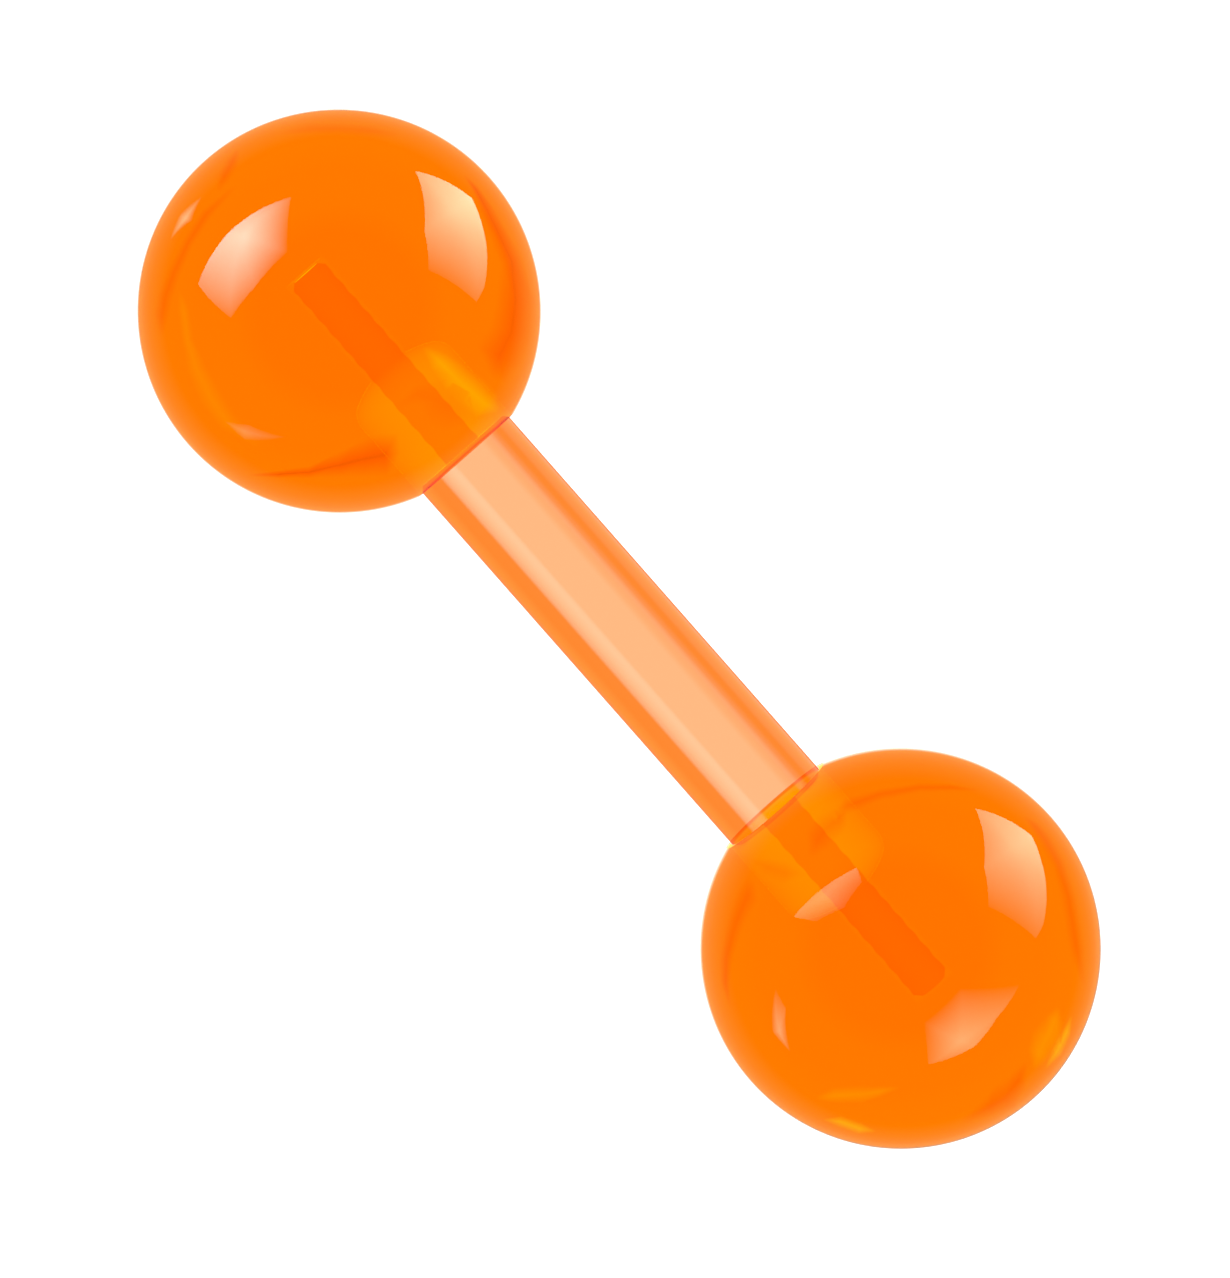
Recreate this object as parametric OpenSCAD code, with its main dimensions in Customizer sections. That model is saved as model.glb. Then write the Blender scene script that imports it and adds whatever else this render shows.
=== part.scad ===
// Cartilage barbell: a straight acrylic bar with a screw-on ball at each end, lying on a flat surface.
// The bar runs along X, both balls touch the plane z = 0, and the origin is under the middle of the bar.

/* [Ball] */
// Diameter of each ball
ball_d = 4; // [3.6:0.1:6]
// Depth of the straight side of the wide bore that takes the end of the bar
bore_depth = 0.9; // [0.6:0.05:1.1]
// Height of the wide bore's rounded end
bore_end_h = 0.31; // [0.28:0.01:0.4]
// Radius of the corner between the wide bore's side and its rounded end
bore_corner = 0.22; // [0.1:0.01:0.24]
// Width of the chamfer round the wide bore's mouth
mouth_chamfer = 0.05; // [0.02:0.01:0.1]

/* [Bar] */
// Diameter of the bar
bar_d = 1.15; // [1:0.05:1.6]
// Length of bar that shows between the two balls: 3/16 inch less what sits in the balls
bar_exposed = 4.6; // [4:0.01:16]
// How far the bar's full thickness goes into each ball
bar_seat = 0.08; // [0.04:0.01:0.1]
// Chamfer round each end of the bar's full thickness
bar_chamfer = 0.05; // [0.01:0.01:0.1]

/* [Post] */
// Diameter of the post over the crests of its thread
post_d = 0.42; // [0.3:0.01:0.6]
// Length of the post, from the end of the bar's full thickness to its tip
post_len = 2.34; // [2:0.02:2.6]
// Chamfer at the post's tip
post_chamfer = 0.06; // [0.02:0.01:0.1]

/* [Fit] */
// Gap between the bar and its bore, and between the post and its hole
fit_gap = 0.02; // [0.01:0.005:0.04]

/* [Hidden] */
$fn = 96;
ball_r = ball_d / 2;
bar_r = bar_d / 2;
post_r = post_d / 2;
bore_r = bar_r + fit_gap;
hole_r = post_r + fit_gap;
// Distance from a ball's centre to its mouth, where the bar goes in
mouth_x = sqrt(ball_r * ball_r - bar_r * bar_r);
// Distance from the middle of the bar to each ball's centre
ball_x = bar_exposed / 2 + mouth_x;
// Distance from the middle of the bar to the end of its full thickness
rod_x = bar_exposed / 2 + bar_seat;
// Distance from a ball's mouth to the bottom of the post's hole
hole_depth = bar_seat + post_len + fit_gap;
orange_ball = [1, 0.46, 0];
orange_bar = [1, 0.68, 0.4];

// In the half outlines X is the radius, and Y is what becomes +X when they are turned.

// The wide bore's rounded end: a dome that meets the corner smoothly, with Y from the bore's straight side
module bore_end_outline() {
    corner_x = bore_r - bore_corner;
    squares = corner_x * corner_x + bore_end_h * bore_end_h - bore_corner * bore_corner;
    dome_r = squares / (2 * (bore_end_h - bore_corner));
    dome_y = bore_end_h - dome_r;
    // A wedge from the dome's centre through the corner's centre holds the dome's share of the outline
    wedge_x = corner_x * dome_r / -dome_y;
    intersection() {
        translate([0, dome_y]) circle(r = dome_r);
        polygon([[0, dome_y], [wedge_x, bore_end_h], [0, bore_end_h + bore_corner]]);
    }
    intersection() {
        translate([corner_x, 0]) circle(r = bore_corner);
        square([bore_r, bore_end_h]);
    }
}

// Everything cut from a ball, with Y from the ball's centre and the mouth at -mouth_x
module socket_outline() {
    bore_end_y = bore_depth - mouth_x;
    rim_y = mouth_chamfer - mouth_x;
    translate([0, -ball_r]) square([bore_r, ball_r + bore_end_y]);
    translate([0, bore_end_y]) bore_end_outline();
    translate([0, -mouth_x]) square([hole_r, hole_depth]);
    polygon([[0, -ball_r], [bore_r + rim_y + ball_r, -ball_r], [bore_r, rim_y], [0, rim_y]]);
}

// Rod and both posts, from tip to tip
module bar_outline() {
    tip_y = rod_x + post_len;
    half = [
        [bar_r, rod_x - bar_chamfer], [bar_r - bar_chamfer, rod_x],
        [post_r, rod_x], [post_r, tip_y - post_chamfer], [post_r - post_chamfer, tip_y], [0, tip_y]
    ];
    other_half = [for (i = [len(half) - 1 : -1 : 0]) [half[i].x, -half[i].y]];
    polygon(concat(other_half, half));
}

// Turns a half outline about the bar's own line
module turned() {
    translate([0, 0, ball_r]) rotate([0, 90, 0]) rotate_extrude() children();
}

// The ball on the +X end
module ball() {
    difference() {
        translate([ball_x, 0, ball_r]) sphere(d = ball_d);
        translate([ball_x, 0, 0]) turned() socket_outline();
    }
}

module ball_right() {
    color(orange_ball) ball();
}

module ball_left() {
    color(orange_ball) mirror([1, 0, 0]) ball();
}

// Rod and both posts in one piece
module bar() {
    color(orange_bar) turned() bar_outline();
}

bar();
ball_left();
ball_right();
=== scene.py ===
"""Straight cartilage barbell of see-through orange acrylic, lying on a pale floor.

The bar and its two balls are turned shapes, made from half outlines by one Geometry Nodes tree. Every size
is in millimetres in the classes and in metres in the meshes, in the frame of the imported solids.
"""

import logging
import math
from dataclasses import dataclass
from enum import Enum

import bmesh
import bpy
from mathutils import Matrix, Vector


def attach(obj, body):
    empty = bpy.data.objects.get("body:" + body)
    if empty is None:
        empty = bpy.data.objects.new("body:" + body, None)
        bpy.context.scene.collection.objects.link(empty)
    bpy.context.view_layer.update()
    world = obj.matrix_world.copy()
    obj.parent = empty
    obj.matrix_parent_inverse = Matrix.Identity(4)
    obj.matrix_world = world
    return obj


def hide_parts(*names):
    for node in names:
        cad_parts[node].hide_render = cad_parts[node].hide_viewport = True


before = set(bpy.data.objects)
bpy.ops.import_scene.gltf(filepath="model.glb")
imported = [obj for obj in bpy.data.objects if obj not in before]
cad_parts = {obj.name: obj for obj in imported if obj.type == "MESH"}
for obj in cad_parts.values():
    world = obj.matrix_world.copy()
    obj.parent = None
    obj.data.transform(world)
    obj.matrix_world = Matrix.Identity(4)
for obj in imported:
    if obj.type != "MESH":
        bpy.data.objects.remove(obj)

MM = 0.001
IMAGE_WIDTH_PX = 1230
IMAGE_HEIGHT_PX = 1278
SAME_POINT_M = 1e-7
SHARP_DEG = 30
LOG = logging.getLogger("barbell")
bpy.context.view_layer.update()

Outline = list[tuple[float, float]]
Stops = tuple[tuple[float, str], ...]


class Side(Enum):
    """Which end of the bar a ball is on, as the sign of its place along X."""

    LEFT = -1
    RIGHT = 1


@dataclass(frozen=True)
class Barbell:
    """The sizes that the bar and its balls share."""

    ball_radius_mm: float = 2.0
    bar_radius_mm: float = 0.575
    shown_mm: float = 4.6
    seat_mm: float = 0.08

    @property
    def mouth_mm(self) -> float:
        """Distance from a ball's centre to the plane of its mouth."""
        return math.sqrt(self.ball_radius_mm**2 - self.bar_radius_mm**2)

    @property
    def centre_mm(self) -> float:
        """Distance from the middle of the bar to each ball's centre."""
        return self.shown_mm / 2 + self.mouth_mm

    @property
    def rod_end_mm(self) -> float:
        """Distance from the middle of the bar to the end of its full thickness."""
        return self.shown_mm / 2 + self.seat_mm


SIZES = Barbell()


def linear(colour: str) -> tuple[float, float, float, float]:
    """Turn an sRGB hex colour into the linear colour that a shader takes.

    Args:
        colour: Six hex digits after a hash sign.

    Returns:
        Linear red, green and blue, with an alpha of 1.
    """
    parts = [int(colour[i : i + 2], 16) / 255 for i in (1, 3, 5)]
    red, green, blue = [p / 12.92 if p <= 0.04045 else ((p + 0.055) / 1.055) ** 2.4 for p in parts]
    return red, green, blue, 1.0


def add_node(
    tree: bpy.types.NodeTree,
    kind: str,
    settings: dict[str, object] | None = None,
    values: dict[str | int, object] | None = None,
    links: dict[str | int, bpy.types.NodeSocket] | None = None,
) -> bpy.types.Node:
    """Add a node to a shader or geometry tree.

    Args:
        tree: The tree that takes the node.
        kind: The node's type, such as "ShaderNodeMath".
        settings: Values of the node's own properties.
        values: Values of its unlinked inputs, by name or number.
        links: The output that feeds each linked input, by name or number.

    Returns:
        The new node.
    """
    node = tree.nodes.new(kind)
    for name, value in (settings or {}).items():
        setattr(node, name, value)
    for name, value in (values or {}).items():
        node.inputs[name].default_value = value
    for name, socket in (links or {}).items():
        tree.links.new(socket, node.inputs[name])
    return node


def arc(centre: tuple[float, float], radius: float, start: float, end: float, steps: int) -> Outline:
    """List the points of an arc in a half outline.

    Args:
        centre: The arc's centre, as distance from the axis and distance along it.
        radius: The arc's radius.
        start: The first point's angle in radians, from the direction away from the axis towards +X.
        end: The last point's angle.
        steps: The number of straight pieces.

    Returns:
        One more point than there are pieces.
    """
    angles = [start + (end - start) * i / steps for i in range(steps + 1)]
    return [(centre[0] + radius * math.cos(a), centre[1] + radius * math.sin(a)) for a in angles]


@dataclass(frozen=True)
class Thread:
    """A rolled thread, cut into the outline between two distances from the middle of the bar."""

    pitch_mm: float = 0.2
    depth_mm: float = 0.01
    from_mm: float = 0.0
    to_mm: float = 0.0
    fade_mm: float = 0.1


class TurnedTree:
    """The Geometry Nodes tree that turns a half outline about the bar's own line and cuts the thread."""

    def __init__(self) -> None:
        """Make the tree with its named inputs."""
        self.tree = bpy.data.node_groups.new("Turned from a half outline", "GeometryNodeTree")
        face = self.tree.interface
        face.new_socket("Geometry", in_out="INPUT", socket_type="NodeSocketGeometry")
        for name, kind in (
            ("Steps", "NodeSocketInt"),
            ("Rings", "NodeSocketInt"),
            ("Axis Height", "NodeSocketFloat"),
            ("Thread Pitch", "NodeSocketFloat"),
            ("Thread Depth", "NodeSocketFloat"),
            ("Thread From", "NodeSocketFloat"),
            ("Thread To", "NodeSocketFloat"),
            ("Thread Fade", "NodeSocketFloat"),
            ("Material", "NodeSocketMaterial"),
        ):
            face.new_socket(name, in_out="INPUT", socket_type=kind)
        face.new_socket("Geometry", in_out="OUTPUT", socket_type="NodeSocketGeometry")
        self._fill()

    def _maths(self, operation: str, *terms: object) -> bpy.types.NodeSocket:
        """Add one Math node.

        Args:
            operation: The Math node's operation.
            terms: Numbers and outputs, in order.

        Returns:
            The result's output.
        """
        values = {i: t for i, t in enumerate(terms) if not isinstance(t, bpy.types.NodeSocket)}
        links = {i: t for i, t in enumerate(terms) if isinstance(t, bpy.types.NodeSocket)}
        return add_node(self.tree, "ShaderNodeMath", {"operation": operation}, values, links).outputs[0]

    def _thread(
        self, given: bpy.types.Node, along: bpy.types.NodeSocket, turn: bpy.types.NodeSocket
    ) -> bpy.types.NodeSocket:
        """Work out how far the thread cuts in.

        Args:
            given: The group's input node.
            along: The point's distance along the axis.
            turn: The point's share of a full turn.

        Returns:
            The depth at that point.
        """
        out = self._maths("ABSOLUTE", along)
        fades = []
        for edge, sign in (("Thread From", 1.0), ("Thread To", -1.0)):
            inside = self._maths("MULTIPLY", self._maths("SUBTRACT", out, given.outputs[edge]), sign)
            fades.append(self._maths("DIVIDE", inside, given.outputs["Thread Fade"]))
        share = self._maths("MINIMUM", self._maths("MAXIMUM", self._maths("MINIMUM", *fades), 0.0), 1.0)
        phase = self._maths("SUBTRACT", self._maths("DIVIDE", along, given.outputs["Thread Pitch"]), turn)
        wave = self._maths("COSINE", self._maths("MULTIPLY", phase, 2 * math.pi))
        cut = self._maths("MULTIPLY_ADD", wave, -0.5, 0.5)
        return self._maths("MULTIPLY", self._maths("MULTIPLY", cut, share), given.outputs["Thread Depth"])

    def _fill(self) -> None:
        """Add the nodes: a grid of rings and steps, laid round the axis on the outline's points."""
        tree = self.tree
        given = add_node(tree, "NodeGroupInput")
        across = self._maths("ADD", given.outputs["Steps"], 1.0)
        grid = add_node(
            tree,
            "GeometryNodeMeshGrid",
            links={"Vertices X": given.outputs["Rings"], "Vertices Y": across},
        )
        index = add_node(tree, "GeometryNodeInputIndex").outputs[0]
        ring = self._maths("FLOOR", self._maths("DIVIDE", self._maths("ADD", index, 0.5), across))
        step = self._maths("SUBTRACT", index, self._maths("MULTIPLY", ring, across))
        turn = self._maths("DIVIDE", step, given.outputs["Steps"])
        place = add_node(tree, "GeometryNodeInputPosition").outputs[0]
        point = add_node(
            tree,
            "GeometryNodeSampleIndex",
            {"data_type": "FLOAT_VECTOR"},
            links={"Geometry": given.outputs["Geometry"], "Value": place, "Index": ring},
        )
        parts = add_node(tree, "ShaderNodeSeparateXYZ", links={0: point.outputs[0]})
        out, along = parts.outputs[0], parts.outputs[1]
        radius = self._maths("SUBTRACT", out, self._thread(given, along, turn))
        angle = self._maths("MULTIPLY", turn, 2 * math.pi)
        height = self._maths("MULTIPLY_ADD", radius, self._maths("SINE", angle), given.outputs["Axis Height"])
        spot = add_node(
            tree,
            "ShaderNodeCombineXYZ",
            links={0: along, 1: self._maths("MULTIPLY", radius, self._maths("COSINE", angle)), 2: height},
        )
        moved = add_node(
            tree,
            "GeometryNodeSetPosition",
            links={"Geometry": grid.outputs[0], "Position": spot.outputs[0]},
        )
        closed = add_node(
            tree,
            "GeometryNodeMergeByDistance",
            values={"Distance": SAME_POINT_M},
            links={"Geometry": moved.outputs[0]},
        )
        real = add_node(tree, "GeometryNodeRealizeInstances", links={"Geometry": closed.outputs[0]})
        dressed = add_node(
            tree,
            "GeometryNodeSetMaterial",
            links={"Geometry": real.outputs[0], "Material": given.outputs["Material"]},
        )
        add_node(tree, "NodeGroupOutput", links={"Geometry": dressed.outputs[0]})

    def turn(
        self,
        name: str,
        outline: Outline,
        material: bpy.types.Material,
        height_mm: float,
        steps: int,
        thread: Thread | None = None,
    ) -> bpy.types.Object:
        """Make one turned piece.

        Args:
            name: The piece's name.
            outline: Points from axis to axis, each as distance from the axis and place along X, in mm.
            material: The piece's material.
            height_mm: The axis's height above the floor.
            steps: The number of flat faces round the axis.
            thread: The thread to cut, if any.

        Returns:
            A plain mesh object, closed, with its faces outwards.
        """
        mesh = bpy.data.meshes.new(name)
        points = [(out * MM, along * MM, 0.0) for out, along in outline]
        mesh.from_pydata(points, [(i, i + 1) for i in range(len(points) - 1)], [])
        piece = bpy.data.objects.new(name, mesh)
        bpy.context.scene.collection.objects.link(piece)
        cut = thread or Thread(depth_mm=0.0)
        values = {
            "Steps": steps,
            "Rings": len(points),
            "Axis Height": height_mm * MM,
            "Thread Pitch": cut.pitch_mm * MM,
            "Thread Depth": cut.depth_mm * MM,
            "Thread From": cut.from_mm * MM,
            "Thread To": cut.to_mm * MM,
            "Thread Fade": cut.fade_mm * MM,
            "Material": material,
        }
        modifier = piece.modifiers.new("Turned", "NODES")
        modifier.node_group = self.tree
        for socket in self.tree.interface.items_tree:
            if socket.in_out == "INPUT" and socket.name in values:
                modifier[socket.identifier] = values[socket.name]
        ready = piece.evaluated_get(bpy.context.evaluated_depsgraph_get())
        plain = bpy.data.meshes.new_from_object(ready)
        piece.modifiers.clear()
        piece.data = plain
        bpy.data.meshes.remove(mesh)
        plain.name = name
        self._face_outwards(plain)
        return piece

    @staticmethod
    def _face_outwards(mesh: bpy.types.Mesh) -> None:
        """Turn the faces outwards and keep only real edges sharp.

        Args:
            mesh: A closed mesh.
        """
        work = bmesh.new()
        work.from_mesh(mesh)
        bmesh.ops.recalc_face_normals(work, faces=work.faces)
        work.to_mesh(mesh)
        work.free()
        mesh.shade_smooth()
        mesh.set_sharp_from_angle(angle=math.radians(SHARP_DEG))


@dataclass(frozen=True)
class OuterFace:
    """Where a piece's polished outer face lies, as a distance from its centre or its axis.

    The place is folded to the right half first, so both balls share one centre. The bar's outer face fades
    out behind the lips of the balls, between two distances along X, and a little further in where light
    comes out.
    """

    centre_mm: tuple[float, float, float]
    counts: tuple[float, float, float]
    from_mm: float
    to_mm: float
    fades_at_mm: tuple[float, float] = (10.0, 11.0)
    out_shift_mm: float = 0.02

    def share(self, tree: bpy.types.NodeTree, back: bpy.types.NodeSocket) -> bpy.types.NodeSocket:
        """Add the nodes that tell the outer face from the inner walls.

        Args:
            tree: The material's tree.
            back: An output that is 1 where light comes out.

        Returns:
            An output that is 1 on the outer face and 0 on the inner walls.
        """
        place = add_node(tree, "ShaderNodeTexCoord").outputs["Object"]
        folded = add_node(tree, "ShaderNodeVectorMath", {"operation": "ABSOLUTE"}, links={0: place})
        centre = tuple(c * MM for c in self.centre_mm)
        away = add_node(
            tree, "ShaderNodeVectorMath", {"operation": "SUBTRACT"}, {1: centre}, {0: folded.outputs[0]}
        )
        kept = add_node(
            tree, "ShaderNodeVectorMath", {"operation": "MULTIPLY"}, {1: self.counts}, {0: away.outputs[0]}
        )
        reach = add_node(tree, "ShaderNodeVectorMath", {"operation": "LENGTH"}, links={0: kept.outputs[0]})
        limits = {"From Min": self.from_mm * MM, "From Max": self.to_mm * MM}
        outside = add_node(tree, "ShaderNodeMapRange", values=limits, links={"Value": reach.outputs["Value"]})
        along = add_node(tree, "ShaderNodeSeparateXYZ", links={0: folded.outputs[0]}).outputs[0]
        start, end = self.fades_at_mm
        limits = {"From Min": end * MM, "From Max": start * MM}
        shift = {1: -self.out_shift_mm * MM}
        shifted = add_node(tree, "ShaderNodeMath", {"operation": "MULTIPLY_ADD"}, shift, {0: back, 2: along})
        shown = add_node(tree, "ShaderNodeMapRange", values=limits, links={"Value": shifted.outputs[0]})
        return add_node(
            tree,
            "ShaderNodeMath",
            {"operation": "MULTIPLY"},
            links={0: outside.outputs[0], 1: shown.outputs[0]},
        ).outputs[0]


@dataclass(frozen=True)
class Acrylic:
    """Cast acrylic dyed right through and polished: smooth, glossy and clear, with no grain and no haze.

    The colouring stops blue and most green within a fraction of a millimetre, then hardly darkens with depth.
    The colour where light goes in and out stands for that first step and also carries painted shade and
    painted light: it follows how squarely a face is seen, so each ball is painted lighter in the middle,
    darker in a ring and much lighter towards its rim, and the bar lighter along its middle and darker towards
    its sides. The absorption stands for the rest. The light goes almost straight through, as in the
    photograph, and the gloss comes from the coat, which has the index of real acrylic. A viewer that reads no
    nodes takes the plain colour of the whole thickness.
    """

    name: str
    outer: OuterFace
    dye_and_painted_shading: Stops
    inner_tint: str
    absorbs: str
    density_per_m: float
    all_through: str
    ior: float = 1.001
    coat_ior: float = 1.5

    def make(self) -> bpy.types.Material:
        """Make the material, or give the one that is there already.

        Returns:
            The material.
        """
        if self.name in bpy.data.materials:
            return bpy.data.materials[self.name]
        material = bpy.data.materials.new(self.name)
        material.use_nodes = True
        tree = material.node_tree
        tree.nodes.clear()
        back = add_node(tree, "ShaderNodeNewGeometry").outputs["Backfacing"]
        front = add_node(tree, "ShaderNodeMath", {"operation": "SUBTRACT"}, {0: 1.0}, {1: back}).outputs[0]
        outside = self.outer.share(tree, back)
        polish = add_node(
            tree, "ShaderNodeMath", {"operation": "MULTIPLY"}, links={0: outside, 1: front}
        ).outputs[0]
        # Painted shade and painted light: the colour follows how squarely a face is seen, in place of the
        # shading that bending light gives
        view = add_node(tree, "ShaderNodeLayerWeight", values={"Blend": 0.5})
        ramp = add_node(tree, "ShaderNodeValToRGB", links={0: view.outputs["Facing"]})
        elements = ramp.color_ramp.elements
        while len(elements) < len(self.dye_and_painted_shading):
            elements.new(0.5)
        for element, (position, colour) in zip(elements, self.dye_and_painted_shading):
            element.position = position
            element.color = linear(colour)
        dye_and_painted_shading_mix = add_node(
            tree,
            "ShaderNodeMix",
            {"data_type": "RGBA"},
            {6: linear(self.inner_tint)},
            {0: outside, 7: ramp.outputs[0]},
        )
        surface = add_node(
            tree,
            "ShaderNodeBsdfPrincipled",
            values={
                "Base Color": linear(self.all_through),
                "Roughness": 0.0,
                "IOR": self.ior,
                "Transmission Weight": 1.0,
                "Coat Weight": 1.0,
                "Coat Roughness": 0.0,
                "Coat IOR": self.coat_ior,
            },
            links={"Base Color": dye_and_painted_shading_mix.outputs[2], "Coat Weight": polish},
        )
        out = add_node(tree, "ShaderNodeOutputMaterial", links={"Surface": surface.outputs[0]})
        if self.density_per_m:
            depth = add_node(
                tree,
                "ShaderNodeVolumeAbsorption",
                values={"Color": linear(self.absorbs), "Density": self.density_per_m},
            )
            tree.links.new(depth.outputs[0], out.inputs["Volume"])
        return material


BALL_ACRYLIC = Acrylic(
    name="Cast acrylic, deep orange",
    outer=OuterFace((SIZES.centre_mm, 0.0, SIZES.ball_radius_mm), (1, 1, 1), 1.99, 1.998),
    inner_tint="#ffffff",
    # Orange of the acrylic with painted shading: lighter in the middle, darker in a ring and much lighter
    # towards the rim, by how squarely the face is seen
    dye_and_painted_shading=(
        (0.0, "#ffa100"),
        (0.08, "#ff9a00"),
        (0.15, "#ff9a00"),
        (0.29, "#ff9000"),
        (0.5, "#ff8600"),
        (0.66, "#ff8700"),
        (0.74, "#ff8b0e"),
        (0.86, "#ff9f2c"),
        (1.0, "#ffe5d3"),
    ),
    absorbs="#ffbc00",
    density_per_m=600.0,
    all_through="#ff7600",
)
BAR_ACRYLIC = Acrylic(
    name="Cast acrylic, pale orange",
    outer=OuterFace((0.0, 0.0, SIZES.ball_radius_mm), (0, 1, 1), 0.55, 0.57, (2.325, 2.345)),
    inner_tint="#ffda78",
    # Orange of the acrylic with painted shading: painted light along the bar's middle and painted shade
    # towards its sides, by how squarely the face is seen
    dye_and_painted_shading=(
        (0.0, "#ff9669"),
        (0.055, "#ff9669"),
        (0.092, "#ff8e5d"),
        (0.123, "#ff8b59"),
        (0.158, "#ff804b"),
        (0.2, "#ff6f28"),
        (0.37, "#ff6f26"),
        (0.457, "#ff752c"),
        (0.564, "#ff7b2c"),
        (1.0, "#ff8234"),
    ),
    absorbs="#ffffff",
    density_per_m=0.0,
    all_through="#ffbb84",
)


@dataclass
class Ball:
    """One ball with its wide bore for the bar's end and its deep hole for the post.

    The bore's straight side has a ring just short of its corner, which keeps the side's shading straight.
    """

    side: Side
    sizes: Barbell = SIZES
    bore_mm: float = 0.595
    bore_depth_mm: float = 0.9
    bore_end_mm: float = 0.31
    bore_corner_mm: float = 0.22
    mouth_chamfer_mm: float = 0.05
    hole_mm: float = 0.23
    hole_depth_mm: float = 2.44
    side_short_mm: float = 0.01
    ball_pieces: int = 100
    corner_pieces: int = 12
    dome_pieces: int = 10
    steps: int = 160

    def outline(self) -> Outline:
        """Draw the ball's half outline.

        Returns:
            Points from the far pole round to the bottom of the hole, placed from the ball's centre.
        """
        radius, mouth = self.sizes.ball_radius_mm, self.sizes.mouth_mm
        corner_out = self.bore_mm - self.bore_corner_mm
        squares = corner_out**2 + self.bore_end_mm**2 - self.bore_corner_mm**2
        dome = squares / (2 * (self.bore_end_mm - self.bore_corner_mm))
        side_end = self.bore_depth_mm - mouth
        dome_centre = side_end + self.bore_end_mm - dome
        join = math.atan2(side_end - dome_centre, corner_out)
        rim = self.bore_mm + self.mouth_chamfer_mm
        rim_along = -math.sqrt(radius**2 - rim**2)
        points = [(0.0, radius)]
        points += arc((0.0, 0.0), radius, math.pi / 2, math.atan2(rim_along, rim), self.ball_pieces)[1:]
        points += [(self.bore_mm, rim_along + self.mouth_chamfer_mm)]
        points += [(self.bore_mm, side_end - self.side_short_mm)]
        points += arc((corner_out, side_end), self.bore_corner_mm, 0.0, join, self.corner_pieces)
        hole_edge = math.acos(self.hole_mm / dome)
        points += arc((0.0, dome_centre), dome, join, hole_edge, self.dome_pieces)[1:]
        bottom = self.hole_depth_mm - mouth
        points += [(self.hole_mm, bottom), (0.0, bottom)]
        return points

    def build(self, lathe: TurnedTree) -> bpy.types.Object:
        """Make the ball and set it on its own body.

        Args:
            lathe: The tree that turns it.

        Returns:
            The finished piece.
        """
        word = self.side.name.lower()
        sign = self.side.value
        placed = [(out, sign * (self.sizes.centre_mm + along)) for out, along in self.outline()]
        height = self.sizes.ball_radius_mm
        piece = lathe.turn(f"ball_{word}_acrylic", placed, BALL_ACRYLIC.make(), height, self.steps)
        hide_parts(f"ball_{word}")
        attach(piece, f"ball_{word}")
        return piece


@dataclass
class Bar:
    """The rod with a threaded post at each end, turned from one piece."""

    sizes: Barbell = SIZES
    chamfer_mm: float = 0.05
    post_radius_mm: float = 0.21
    post_length_mm: float = 2.34
    post_chamfer_mm: float = 0.06
    ring_mm: float = 0.02
    steps: int = 96

    @property
    def straight_mm(self) -> float:
        """Length of a post without its chamfer."""
        return self.post_length_mm - self.post_chamfer_mm

    def outline(self) -> Outline:
        """Draw the bar's half outline, with rings close enough on the posts to carry the thread.

        Returns:
            Points from the left tip to the right tip.
        """
        radius, rod_end = self.sizes.bar_radius_mm, self.sizes.rod_end_mm
        tip = rod_end + self.post_length_mm
        rings = round(self.straight_mm / self.ring_mm)
        straight = [(self.post_radius_mm, rod_end + self.straight_mm * i / rings) for i in range(rings + 1)]
        half = [
            (radius, rod_end - self.chamfer_mm),
            (radius - self.chamfer_mm, rod_end),
            *straight,
            (self.post_radius_mm - self.post_chamfer_mm, tip),
            (0.0, tip),
        ]
        return [(out, -along) for out, along in reversed(half)] + half

    def build(self, lathe: TurnedTree) -> bpy.types.Object:
        """Make the bar and set it on its body.

        Args:
            lathe: The tree that turns it.

        Returns:
            The finished piece.
        """
        start = self.sizes.rod_end_mm
        thread = Thread(from_mm=start + self.ring_mm, to_mm=start + self.straight_mm)
        height = self.sizes.ball_radius_mm
        piece = lathe.turn("bar_acrylic", self.outline(), BAR_ACRYLIC.make(), height, self.steps, thread)
        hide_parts("bar")
        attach(piece, "bar")
        return piece


def ball_centre(side: Side) -> Vector:
    """Give the centre of the ball on one side, in millimetres."""
    return Vector((side.value * SIZES.centre_mm, 0.0, SIZES.ball_radius_mm))


def bent(way: Vector, out: Vector, ratio: float) -> Vector:
    """Bend a ray's direction at a polished face.

    Args:
        way: The ray's direction.
        out: The direction out of the face, against the ray.
        ratio: The refractive index on the ray's side divided by the one behind the face.

    Returns:
        The direction behind the face.
    """
    lean = -way.dot(out)
    return way * ratio + out * (ratio * lean - math.sqrt(max(1 - ratio**2 * (1 - lean**2), 0.0)))


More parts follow.
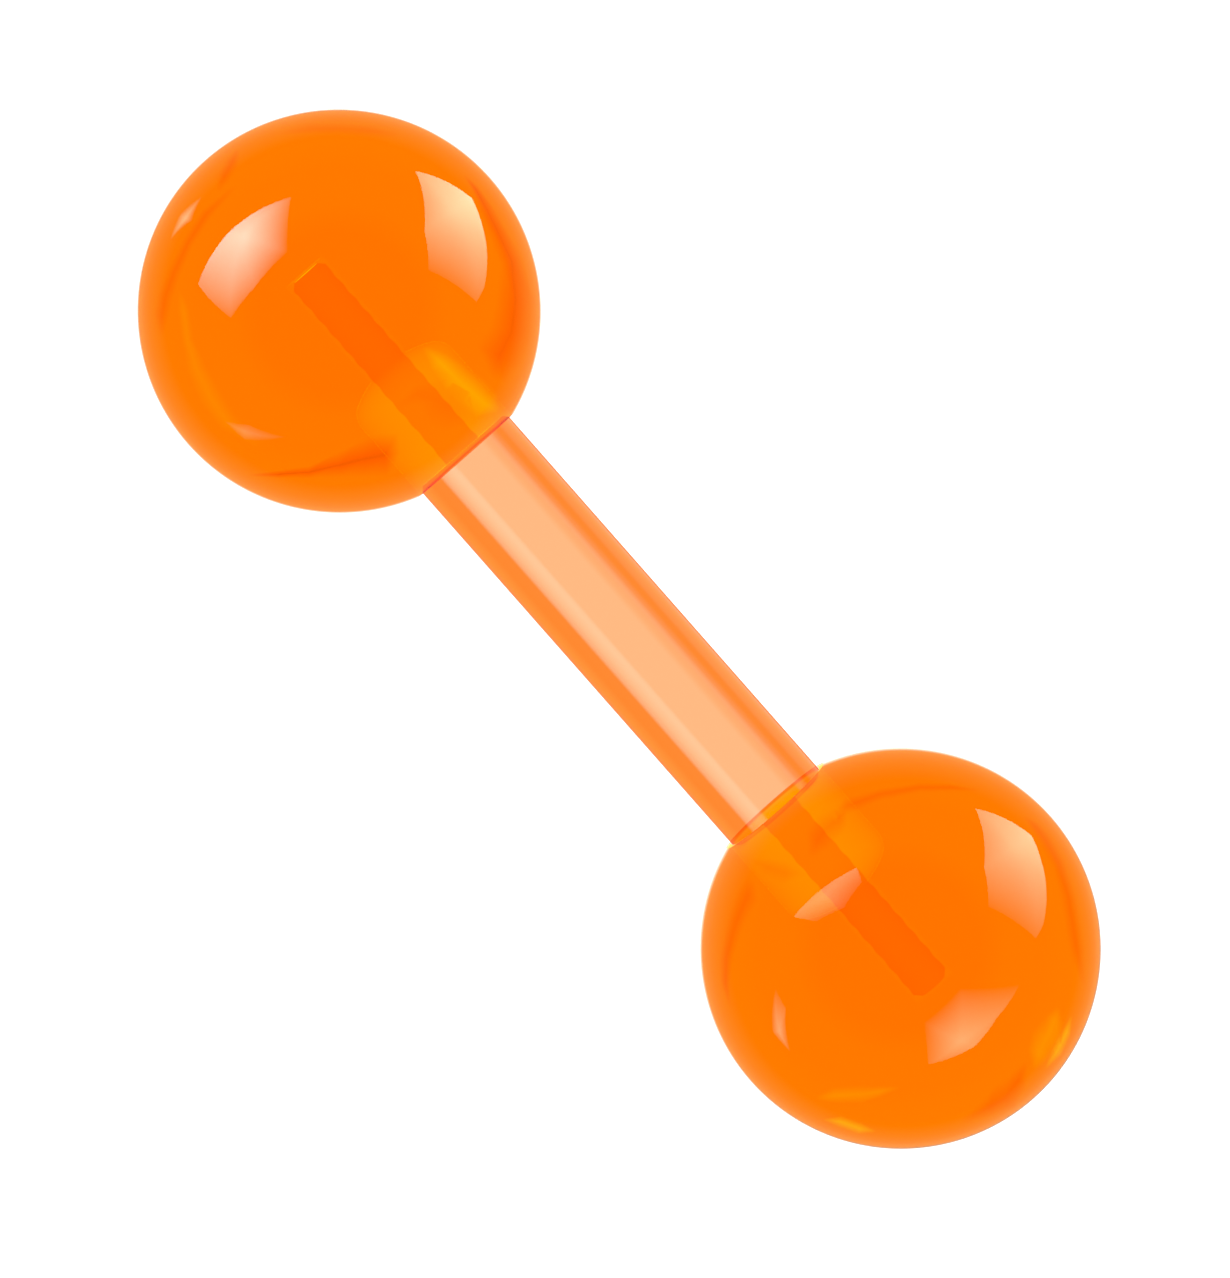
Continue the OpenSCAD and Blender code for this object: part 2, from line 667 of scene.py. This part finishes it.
@dataclass(frozen=True)
class Viewpoint:
    """The camera: almost straight above, with the bar running from the upper left to the lower right."""

    lean_deg: float = -3.0
    bar_slope_deg: float = 48.63
    distance_mm: float = 59.5
    lens_mm: float = 168.8
    sensor_mm: float = 36.0
    clip_from_mm: float = 1.0
    clip_to_mm: float = 10000.0
    aim_x_px: float = 620.8
    aim_y_px: float = 630.9
    target_mm: tuple[float, float, float] = (0.0, 0.0, SIZES.ball_radius_mm)

    def axes(self) -> tuple[Vector, Vector, Vector]:
        """Work out how the camera is turned.

        Returns:
            The camera's right, up and backward directions in the object's frame.
        """
        lean, slope = math.radians(self.lean_deg), math.radians(self.bar_slope_deg)
        back = Vector((math.sin(lean), 0.0, math.cos(lean)))
        along = Vector((math.cos(lean), 0.0, -math.sin(lean)))
        across = back.cross(along)
        right = along * math.cos(slope) + across * math.sin(slope)
        return right, back.cross(right), back

    def meet(self, side: Side, across: float, above: float) -> tuple[Vector, Vector, Vector]:
        """Find where the camera's ray meets a ball.

        Args:
            side: The ball's side.
            across: The place's distance to the right in the picture, as a share of the ball's radius.
            above: The place's distance upwards in the picture, as a share of the ball's radius.

        Returns:
            The point on the ball, the direction out of the ball there, and the ray's direction.
        """
        right, up, back = self.axes()
        eye = Vector(self.target_mm) + back * self.distance_mm
        centre = ball_centre(side)
        radius = SIZES.ball_radius_mm
        way = (centre + (right * across + up * above) * radius - eye).normalized()
        nearest = (centre - eye).dot(way)
        inside = radius**2 - (centre - eye).length_squared + nearest**2
        point = eye + way * (nearest - math.sqrt(max(inside, 0.0)))
        return point, (point - centre).normalized(), way

    def build(self) -> bpy.types.Object:
        """Make the camera and give it to the scene.

        Returns:
            The camera object.
        """
        camera = bpy.data.cameras.new("Camera")
        camera.lens = self.lens_mm
        camera.sensor_width = self.sensor_mm
        camera.clip_start = self.clip_from_mm * MM
        camera.clip_end = self.clip_to_mm * MM
        camera.shift_x = (IMAGE_WIDTH_PX / 2 - self.aim_x_px) / IMAGE_HEIGHT_PX
        camera.shift_y = (self.aim_y_px - IMAGE_HEIGHT_PX / 2) / IMAGE_HEIGHT_PX
        holder = bpy.data.objects.new("Camera", camera)
        bpy.context.scene.collection.objects.link(holder)
        right, up, back = self.axes()
        holder.location = (Vector(self.target_mm) + back * self.distance_mm) * MM
        holder.rotation_euler = Matrix((right, up, back)).transposed().to_euler()
        bpy.context.scene.camera = holder
        return holder


class Backing(Enum):
    """What a studio card is made of."""

    GAUZE = "Lit gauze"
    # Film is painted shade where its level is under 1 and painted light where it is over 1
    PAINTED_SHADING_FILM = "Film of painted shade and light"


class StudioCard:
    """Cards whose points store a level: the light that gauze gives, or the share that film lets through."""

    attribute = "Level"

    @classmethod
    def dress(cls, backing: Backing) -> bpy.types.Material:
        """Make the material, or give the one that is there already.

        Args:
            backing: Gauze gives light on its front and hides nothing. Film paints shade and light behind it.

        Returns:
            The material.
        """
        if backing.value in bpy.data.materials:
            return bpy.data.materials[backing.value]
        material = bpy.data.materials.new(backing.value)
        material.use_nodes = True
        tree = material.node_tree
        tree.nodes.clear()
        level = add_node(tree, "ShaderNodeAttribute", {"attribute_name": cls.attribute})
        if backing is Backing.PAINTED_SHADING_FILM:
            surface = add_node(tree, "ShaderNodeBsdfTransparent", links={"Color": level.outputs["Color"]})
        else:
            side = add_node(tree, "ShaderNodeNewGeometry").outputs["Backfacing"]
            front = add_node(tree, "ShaderNodeMath", {"operation": "SUBTRACT"}, {0: 1.0}, {1: side})
            light = add_node(
                tree,
                "ShaderNodeEmission",
                links={"Color": level.outputs["Color"], "Strength": front.outputs[0]},
            )
            clear = add_node(tree, "ShaderNodeBsdfTransparent")
            surface = add_node(tree, "ShaderNodeAddShader", links={0: light.outputs[0], 1: clear.outputs[0]})
        add_node(tree, "ShaderNodeOutputMaterial", links={"Surface": surface.outputs[0]})
        return material

    @classmethod
    def card(
        cls,
        name: str,
        points: list[Vector],
        levels: list[float],
        faces: list[tuple[int, ...]],
        towards: Vector,
        lit: list[bpy.types.Object],
        backing: Backing,
        colour: str = "#ffffff",
    ) -> bpy.types.Object:
        """Make a card from its points, in millimetres.

        Args:
            name: The card's name.
            points: Its points.
            levels: The light given at each point, or the share let through.
            faces: The points of each face, all wound the same way.
            towards: A place that its front faces.
            lit: The pieces that it lights.
            backing: What it is made of.
            colour: The colour that its levels count in.

        Returns:
            The card, which casts no shadow and isn't seen by the camera.
        """
        mesh = bpy.data.meshes.new(name)
        mesh.from_pydata([tuple(point * MM) for point in points], [], faces)
        first = mesh.polygons[0]
        if first.normal.dot(towards * MM - first.center) < 0:
            mesh.flip_normals()
        stored = mesh.attributes.new(cls.attribute, "FLOAT_COLOR", "POINT")
        stored.data.foreach_set("color", [level * part for level in levels for part in linear(colour)])
        mesh.materials.append(cls.dress(backing))
        made = bpy.data.objects.new(name, mesh)
        bpy.context.scene.collection.objects.link(made)
        made.visible_camera = False
        made.visible_diffuse = False
        made.visible_shadow = False
        group = bpy.data.collections.new(f"Lit by {name}")
        for piece in lit:
            group.objects.link(piece)
        made.light_linking.receiver_collection = group
        return made


@dataclass(frozen=True)
class MirroredCard:
    """A card that the polished acrylic mirrors, placed by where a ball shows it in the picture.

    Places are shares of the ball's radius, to the right of and above the ball's centre. Each corner also has
    its share of the card's strength, and the light fades evenly from the core to the corners.
    """

    name: str
    ball: Side
    strength: float
    core: tuple[float, float]
    corners: tuple[tuple[float, float, float], ...]
    distance_mm: float = 6.0
    colour: str = "#ffffe0"

    def place(self, viewpoint: Viewpoint, across: float, above: float) -> Vector:
        """Find the point that the ball mirrors at one place.

        Args:
            viewpoint: The camera.
            across: The place's distance to the right, as a share of the ball's radius.
            above: The place's distance upwards, as a share of the ball's radius.

        Returns:
            The point, in millimetres.
        """
        point, out, way = viewpoint.meet(self.ball, across, above)
        return point + (way - out * 2 * way.dot(out)) * self.distance_mm

    def build(self, viewpoint: Viewpoint, balls: dict[Side, bpy.types.Object]) -> bpy.types.Object:
        """Make the card.

        Args:
            viewpoint: The camera.
            balls: The ball on each side.

        Returns:
            The card, which lights only its own ball.
        """
        points = [self.place(viewpoint, *self.core)]
        points += [self.place(viewpoint, across, above) for across, above, _ in self.corners]
        levels = [self.strength] + [self.strength * share for _, _, share in self.corners]
        count = len(self.corners)
        faces = [(0, 1 + i, 1 + (i + 1) % count) for i in range(count)]
        centre, lit = ball_centre(self.ball), [balls[self.ball]]
        made = StudioCard.card(self.name, points, levels, faces, centre, lit, Backing.GAUZE, self.colour)
        made.visible_transmission = False
        return made


@dataclass(frozen=True)
class BarStrip:
    """A long narrow softbox beside the bar, placed by where the bar mirrors it in the picture.

    Places are shares of the bar's radius, counted from its middle line, positive to the right.
    """

    name: str
    shares: tuple[float, ...]
    levels: tuple[float, ...]
    distance_mm: float = 6.0
    half_length_mm: float = 3.2

    def build(self, bar: bpy.types.Object) -> bpy.types.Object:
        """Make the strip.

        Args:
            bar: The bar.

        Returns:
            The strip, which lights only the bar.
        """
        height = SIZES.ball_radius_mm
        points, levels = [], []
        for share, level in zip(self.shares, self.levels):
            angle = 2 * math.asin(share) - math.asin(share * SIZES.bar_radius_mm / self.distance_mm)
            out, up = math.sin(angle) * self.distance_mm, math.cos(angle) * self.distance_mm
            points += [Vector((end * self.half_length_mm, out, height + up)) for end in (-1, 1)]
            levels += [level, level]
        faces = [(2 * i, 2 * i + 1, 2 * i + 3, 2 * i + 2) for i in range(len(self.shares) - 1)]
        axis = Vector((0.0, 0.0, height))
        made = StudioCard.card(self.name, points, levels, faces, axis, [bar], Backing.GAUZE)
        made.visible_transmission = False
        return made


@dataclass(frozen=True)
class PaintedShadingPatch:
    """Painted shade and light: a patch of film on the floor under a ball, placed by where the ball shows it
    in the picture.

    Its level is the share of light that it lets through in the middle, over 1 where it brightens. Places are
    shares of the ball's radius, to the right of and above the ball's centre. The patch follows a line of
    places, each with its half width, and fades evenly to both sides and to both ends.
    """

    name: str
    under: Side
    level: float
    line: tuple[tuple[float, float, float], ...]
    height_mm: float = 0.01

    def place(self, viewpoint: Viewpoint, across: float, above: float) -> Vector:
        """Find the point just above the floor that the ball shows at one place.

        Args:
            viewpoint: The camera.
            across: The place's distance to the right, as a share of the ball's radius.
            above: The place's distance upwards, as a share of the ball's radius.

        Returns:
            The point, in millimetres.
        """
        point, out, way = viewpoint.meet(self.under, across, above)
        inner = bent(way, out, 1 / BALL_ACRYLIC.ior)
        leave = point - inner * (2 * inner.dot(out) * SIZES.ball_radius_mm)
        back_in = (ball_centre(self.under) - leave).normalized()
        outer = bent(inner, back_in, BALL_ACRYLIC.ior)
        return leave + outer * ((self.height_mm - leave.z) / outer.z)

    def build(self, viewpoint: Viewpoint, balls: dict[Side, bpy.types.Object]) -> bpy.types.Object:
        """Make the patch.

        Args:
            viewpoint: The camera.
            balls: The ball on each side.

        Returns:
            The patch, seen only through its ball.
        """
        points, levels = [], []
        last = len(self.line) - 1
        for i, (across, above, half) in enumerate(self.line):
            before, after = self.line[max(i - 1, 0)], self.line[min(i + 1, last)]
            along = Vector((after[0] - before[0], after[1] - before[1])).normalized()
            full = 1.0 if i in (0, last) else self.level
            for sign in (-1, 0, 1):
                spot = (across - along.y * half * sign, above + along.x * half * sign)
                points.append(self.place(viewpoint, *spot))
                levels.append(full if sign == 0 else 1.0)
        corners = [3 * i + k for i in range(last) for k in (0, 1)]
        faces = [(corner, corner + 1, corner + 4, corner + 3) for corner in corners]
        above_it = points[1] + Vector((0.0, 0.0, 1.0))
        made = StudioCard.card(self.name, points, levels, faces, above_it, [balls[self.under]], Backing.PAINTED_SHADING_FILM)
        made.visible_glossy = False
        return made


RIGHT_WINDOW_CORNERS = (
    (0.375, 0.695, 0.5),
    (0.655, 0.56, 0.9),
    (0.705, 0.43, 0.8),
    (0.73, 0.271, 0.5),
    (0.715, 0.12, 0.25),
    (0.677, 0.046, 0.1),
    (0.441, 0.205, 0.05),
    (0.42, 0.4, 0.5),
)
CARDS = (
    MirroredCard("Right softbox for the left ball", Side.LEFT, 8.4, (0.56, 0.5), RIGHT_WINDOW_CORNERS),
    MirroredCard("Right softbox for the right ball", Side.RIGHT, 6.2, (0.57, 0.5), RIGHT_WINDOW_CORNERS),
    MirroredCard(
        "Left softbox",
        Side.LEFT,
        12.5,
        (-0.47, 0.37),
        (
            (-0.24, 0.566, 0.1),
            (-0.257, 0.294, 0.0),
            (-0.42, 0.12, 0.15),
            (-0.537, -0.032, 0.05),
            (-0.7, 0.135, 0.2),
            (-0.65, 0.25, 0.5),
            (-0.554, 0.385, 0.8),
            (-0.42, 0.49, 0.6),
        ),
        colour="#fffffb",
    ),
    MirroredCard(
        "Upper left reflector",
        Side.LEFT,
        3.0,
        (-0.762, 0.46),
        ((-0.68, 0.57, 0.0), (-0.73, 0.45, 0.0), (-0.84, 0.35, 0.0), (-0.79, 0.48, 0.0)),
        3.0,
    ),
    MirroredCard(
        "Lower left reflector",
        Side.LEFT,
        1.8,
        (-0.469, -0.594),
        ((-0.57, -0.54, 0.0), (-0.45, -0.56, 0.2), (-0.26, -0.62, 0.0), (-0.47, -0.635, 0.0)),
        3.0,
    ),
    MirroredCard(
        "Window edge reflector",
        Side.RIGHT,
        3.6,
        (-0.38, 0.26),
        ((-0.53, 0.155, 0.7), (-0.215, 0.4, 0.9), (-0.19, 0.33, 0.2), (-0.28, 0.2, 0.15), (-0.42, 0.13, 0.1)),
        4.0,
    ),
    MirroredCard(
        "Lower right reflector",
        Side.RIGHT,
        5.7,
        (0.302, -0.465),
        (
            (0.141, -0.582, 0.15),
            (0.373, -0.49, 0.6),
            (0.484, -0.347, 0.4),
            (0.597, -0.179, 0.0),
            (0.3, -0.2, 0.0),
            (0.12, -0.37, 0.0),
        ),
        4.0,
        "#ffffd7",
    ),
    MirroredCard(
        "Low left reflector",
        Side.RIGHT,
        4.0,
        (-0.6, -0.417),
        ((-0.62, -0.2, 0.0), (-0.57, -0.3, 0.2), (-0.545, -0.52, 0.0), (-0.635, -0.42, 0.0)),
        3.0,
    ),
)
BAR_STRIPS = (
    BarStrip(
        "Left strip light",
        (-0.23, -0.28, -0.35, -0.42, -0.48, -0.55, -0.6),
        (0, 1.9, 2.35, 2.5, 1.9, 2.0, 0),
    ),
    BarStrip(
        "Right strip light",
        (0.475, 0.525, 0.585, 0.645, 0.685, 0.74, 0.79),
        (0, 1.0, 1.3, 0.5, 0, 0, 0.5),
    ),
    BarStrip("Low right strip light", (0.79, 0.9, 0.97), (0.5, 0.4, 0.5), distance_mm=2.5),
)
# Film under the balls, seen through them: painted shade where a level is under 1 and painted light where it
# is over 1
PAINTED_SHADING_PATCHES = (
    PaintedShadingPatch(
        "Dark line at the left ball's mouth, lower end",
        Side.LEFT,
        0.8,
        ((0.395, -0.9, 0.015), (0.43, -0.875, 0.025), (0.47, -0.845, 0.025), (0.52, -0.805, 0.01)),
    ),
    PaintedShadingPatch(
        "Dark line at the left ball's mouth, upper end",
        Side.LEFT,
        0.8,
        ((0.76, -0.595, 0.01), (0.79, -0.57, 0.025), (0.82, -0.545, 0.025), (0.85, -0.52, 0.015)),
    ),
    PaintedShadingPatch(
        "Dark line at the right ball's mouth, upper end",
        Side.RIGHT,
        0.7,
        ((-0.51, 0.785, 0.01), (-0.47, 0.81, 0.035), (-0.43, 0.84, 0.03), (-0.39, 0.87, 0.01)),
    ),
    PaintedShadingPatch(
        "Dark line at the right ball's mouth, lower end",
        Side.RIGHT,
        0.75,
        ((-0.86, 0.49, 0.01), (-0.82, 0.51, 0.03), (-0.78, 0.53, 0.03), (-0.73, 0.56, 0.01)),
    ),
    PaintedShadingPatch(
        "Painted light behind the left ball's socket",
        Side.LEFT,
        1.5,
        (
            (0.42, -0.16, 0.02),
            (0.5, -0.25, 0.06),
            (0.58, -0.33, 0.08),
            (0.66, -0.4, 0.09),
            (0.73, -0.46, 0.08),
            (0.78, -0.5, 0.03),
        ),
    ),
    PaintedShadingPatch(
        "Painted shade behind the left ball's socket",
        Side.LEFT,
        0.88,
        (
            (0.28, -0.46, 0.02),
            (0.38, -0.41, 0.05),
            (0.48, -0.44, 0.12),
            (0.58, -0.5, 0.12),
            (0.66, -0.56, 0.02),
        ),
    ),
    PaintedShadingPatch(
        "Dark patch behind the right ball's socket, above",
        Side.RIGHT,
        0.76,
        (
            (-0.46, 0.46, 0.03),
            (-0.41, 0.54, 0.07),
            (-0.36, 0.6, 0.08),
            (-0.3, 0.65, 0.06),
            (-0.26, 0.68, 0.01),
        ),
    ),
    PaintedShadingPatch(
        "Dark patch behind the right ball's socket, left",
        Side.RIGHT,
        0.84,
        ((-0.74, 0.45, 0.02), (-0.66, 0.4, 0.05), (-0.57, 0.37, 0.06), (-0.48, 0.36, 0.02)),
    ),
    PaintedShadingPatch(
        "Painted shade at the left ball's right",
        Side.LEFT,
        0.62,
        (
            (0.62, 0.68, 0.01),
            (0.67, 0.61, 0.02),
            (0.75, 0.46, 0.04),
            (0.85, 0.25, 0.06),
            (0.87, 0.05, 0.1),
            (0.85, -0.1, 0.11),
            (0.79, -0.22, 0.12),
            (0.75, -0.33, 0.07),
        ),
    ),
    PaintedShadingPatch(
        "Painted shade at the left ball's left",
        Side.LEFT,
        0.76,
        (
            (-0.89, -0.12, 0.02),
            (-0.88, -0.02, 0.04),
            (-0.86, 0.08, 0.04),
            (-0.82, 0.19, 0.035),
            (-0.75, 0.34, 0.03),
            (-0.66, 0.48, 0.03),
            (-0.5, 0.62, 0.02),
        ),
    ),
    PaintedShadingPatch(
        "Painted shade at the left ball's upper left",
        Side.LEFT,
        0.74,
        ((-0.61, 0.6, 0.02), (-0.57, 0.67, 0.035), (-0.53, 0.74, 0.035), (-0.49, 0.8, 0.02)),
    ),
    PaintedShadingPatch(
        "Painted shade at the left ball's top",
        Side.LEFT,
        0.86,
        (
            (-0.3, 0.89, 0.02),
            (-0.15, 0.905, 0.03),
            (0.0, 0.905, 0.03),
            (0.15, 0.895, 0.03),
            (0.3, 0.86, 0.02),
        ),
    ),
    PaintedShadingPatch(
        "Painted shade at the left ball's bottom",
        Side.LEFT,
        0.57,
        (
            (-0.45, -0.805, 0.01),
            (-0.3, -0.805, 0.02),
            (-0.15, -0.795, 0.03),
            (0.0, -0.76, 0.06),
            (0.12, -0.73, 0.09),
            (0.22, -0.71, 0.11),
            (0.3, -0.7, 0.1),
        ),
    ),
    PaintedShadingPatch(
        "Painted light at the left ball's left",
        Side.LEFT,
        1.22,
        (
            (-0.78, 0.1, 0.02),
            (-0.77, 0.0, 0.03),
            (-0.75, -0.15, 0.03),
            (-0.71, -0.28, 0.05),
            (-0.64, -0.42, 0.06),
            (-0.55, -0.55, 0.05),
            (-0.4, -0.68, 0.03),
        ),
    ),
    PaintedShadingPatch(
        "Painted shade at the right ball's top",
        Side.RIGHT,
        0.76,
        (
            (-0.34, 0.67, 0.04),
            (-0.26, 0.71, 0.04),
            (-0.1, 0.765, 0.03),
            (0.1, 0.8, 0.025),
            (0.25, 0.8, 0.02),
            (0.4, 0.78, 0.01),
        ),
    ),
    PaintedShadingPatch(
        "Painted shade at the right ball's upper right",
        Side.RIGHT,
        0.76,
        (
            (0.62, 0.66, 0.01),
            (0.67, 0.61, 0.025),
            (0.73, 0.53, 0.035),
            (0.79, 0.42, 0.035),
            (0.84, 0.25, 0.04),
            (0.88, 0.0, 0.04),
            (0.91, -0.2, 0.02),
        ),
    ),
    PaintedShadingPatch(
        "Painted shade at the right ball's left",
        Side.RIGHT,
        0.74,
        (
            (-0.72, 0.34, 0.05),
            (-0.76, 0.26, 0.06),
            (-0.82, 0.12, 0.045),
            (-0.865, -0.05, 0.035),
            (-0.87, -0.18, 0.025),
            (-0.85, -0.3, 0.01),
        ),
    ),
    PaintedShadingPatch(
        "Painted shade at the right ball's lower right",
        Side.RIGHT,
        0.72,
        (
            (0.64, -0.57, 0.02),
            (0.59, -0.66, 0.05),
            (0.52, -0.75, 0.08),
            (0.45, -0.79, 0.05),
            (0.3, -0.86, 0.02),
        ),
    ),
    PaintedShadingPatch(
        "Painted light at the right ball's right",
        Side.RIGHT,
        1.4,
        (
            (0.8, -0.3, 0.02),
            (0.77, -0.36, 0.05),
            (0.73, -0.45, 0.08),
            (0.69, -0.53, 0.06),
            (0.66, -0.6, 0.02),
        ),
    ),
    PaintedShadingPatch(
        "Painted light at the right ball's bottom",
        Side.RIGHT,
        1.35,
        (
            (-0.42, -0.74, 0.02),
            (-0.33, -0.735, 0.04),
            (-0.2, -0.73, 0.045),
            (-0.1, -0.715, 0.03),
            (0.0, -0.7, 0.01),
        ),
    ),
    # Painted highlights: film that brightens what the right ball shows well over the floor's own light
    PaintedShadingPatch(
        "Painted highlight at the right ball's bottom",
        Side.RIGHT,
        1.8,
        ((-0.38, -0.85, 0.01), (-0.3, -0.865, 0.03), (-0.2, -0.9, 0.03), (-0.12, -0.92, 0.01)),
    ),
    PaintedShadingPatch(
        "Bright patch at the right ball's right edge",
        Side.RIGHT,
        1.8,
        ((0.86, -0.34, 0.01), (0.83, -0.42, 0.025), (0.78, -0.52, 0.03), (0.72, -0.6, 0.01)),
    ),
)


@dataclass(frozen=True)
class Studio:
    """A plain pale floor under soft light from all sides, with softboxes and reflectors for the highlights.

    In what the acrylic mirrors, the faint glow from below comes in between two heights of its direction, and
    the brighter one from straight below between two more.
    """

    floor_mm: float = 600.0
    sky: float = 2.3
    paper: str = "#f5f5f5"
    mirrored_sky: float = 0.175
    mirrored_sky_heights: tuple[float, float] = (-0.45, -0.85)
    mirrored_floor: float = 2.0
    mirrored_floor_heights: tuple[float, float] = (-0.95, -1.0)

    def _floor(self) -> bpy.types.Object:
        """Make the floor of matt white paper, which is left out of what the acrylic mirrors.

        Returns:
            The floor.
        """
        half = self.floor_mm / 2 * MM
        mesh = bpy.data.meshes.new("Floor")
        corners = [(-half, -half, 0), (half, -half, 0), (half, half, 0), (-half, half, 0)]
        mesh.from_pydata(corners, [], [(0, 1, 2, 3)])
        material = bpy.data.materials.new("Matt white paper")
        material.use_nodes = True
        surface = material.node_tree.nodes["Principled BSDF"]
        surface.inputs["Base Color"].default_value = linear(self.paper)
        surface.inputs["Roughness"].default_value = 1.0
        surface.inputs["Specular IOR Level"].default_value = 0.0
        mesh.materials.append(material)
        floor = bpy.data.objects.new("Floor", mesh)
        bpy.context.scene.collection.objects.link(floor)
        floor.visible_glossy = False
        return floor

    def _sky(self) -> None:
        """Light the scene from all sides, with only a faint glow from below in what the acrylic mirrors."""
        world = bpy.data.worlds.new("Soft white sky")
        world.use_nodes = True
        tree = world.node_tree
        tree.nodes.clear()
        seen = add_node(tree, "ShaderNodeBackground", values={"Strength": self.sky})
        way = add_node(tree, "ShaderNodeTexCoord").outputs["Generated"]
        height = add_node(tree, "ShaderNodeSeparateXYZ", links={0: way}).outputs[2]
        glows = []
        for (start, end), level in (
            (self.mirrored_sky_heights, self.mirrored_sky),
            (self.mirrored_floor_heights, self.mirrored_floor),
        ):
            limits = {"From Min": start, "From Max": end, "To Min": 0.0, "To Max": level}
            glows.append(add_node(tree, "ShaderNodeMapRange", values=limits, links={"Value": height}))
        glow = add_node(
            tree,
            "ShaderNodeMath",
            {"operation": "ADD"},
            links={0: glows[0].outputs[0], 1: glows[1].outputs[0]},
        )
        mirrored = add_node(tree, "ShaderNodeBackground", links={"Strength": glow.outputs[0]})
        ray = add_node(tree, "ShaderNodeLightPath")
        only_mirrored = add_node(
            tree,
            "ShaderNodeMath",
            {"operation": "SUBTRACT", "use_clamp": True},
            links={0: ray.outputs["Is Glossy Ray"], 1: ray.outputs["Is Transmission Ray"]},
        )
        both = add_node(
            tree,
            "ShaderNodeMixShader",
            links={0: only_mirrored.outputs[0], 1: seen.outputs[0], 2: mirrored.outputs[0]},
        )
        add_node(tree, "ShaderNodeOutputWorld", links={"Surface": both.outputs[0]})
        bpy.context.scene.world = world

    def build(
        self, viewpoint: Viewpoint, bar: bpy.types.Object, balls: dict[Side, bpy.types.Object]
    ) -> list[bpy.types.Object]:
        """Make the floor, the sky and the cards.

        Args:
            viewpoint: The camera.
            bar: The bar.
            balls: The ball on each side.

        Returns:
            The stage objects.
        """
        self._sky()
        cards = [card.build(viewpoint, balls) for card in CARDS]
        strips = [strip.build(bar) for strip in BAR_STRIPS]
        patches = [patch.build(viewpoint, balls) for patch in PAINTED_SHADING_PATCHES]
        return [self._floor(), *cards, *strips, *patches]


def main() -> None:
    """Build every piece in order, then the stage, and note each one."""
    logging.basicConfig(level=logging.INFO)
    lathe = TurnedTree()
    bar = Bar().build(lathe)
    balls = {side: Ball(side).build(lathe) for side in Side}
    for piece in (bar, *balls.values()):
        # The photograph is a cut-out: no shadow on the floor, and no piece mirrored in another
        piece.visible_shadow = False
        piece.visible_diffuse = False
        piece.visible_glossy = False
        LOG.info("%s: %d faces", piece.name, len(piece.data.polygons))
    viewpoint = Viewpoint()
    viewpoint.build()
    stage = Studio().build(viewpoint, bar, balls)
    bpy.context.scene.view_settings.view_transform = "Standard"


if __name__ == "__main__":
    main()
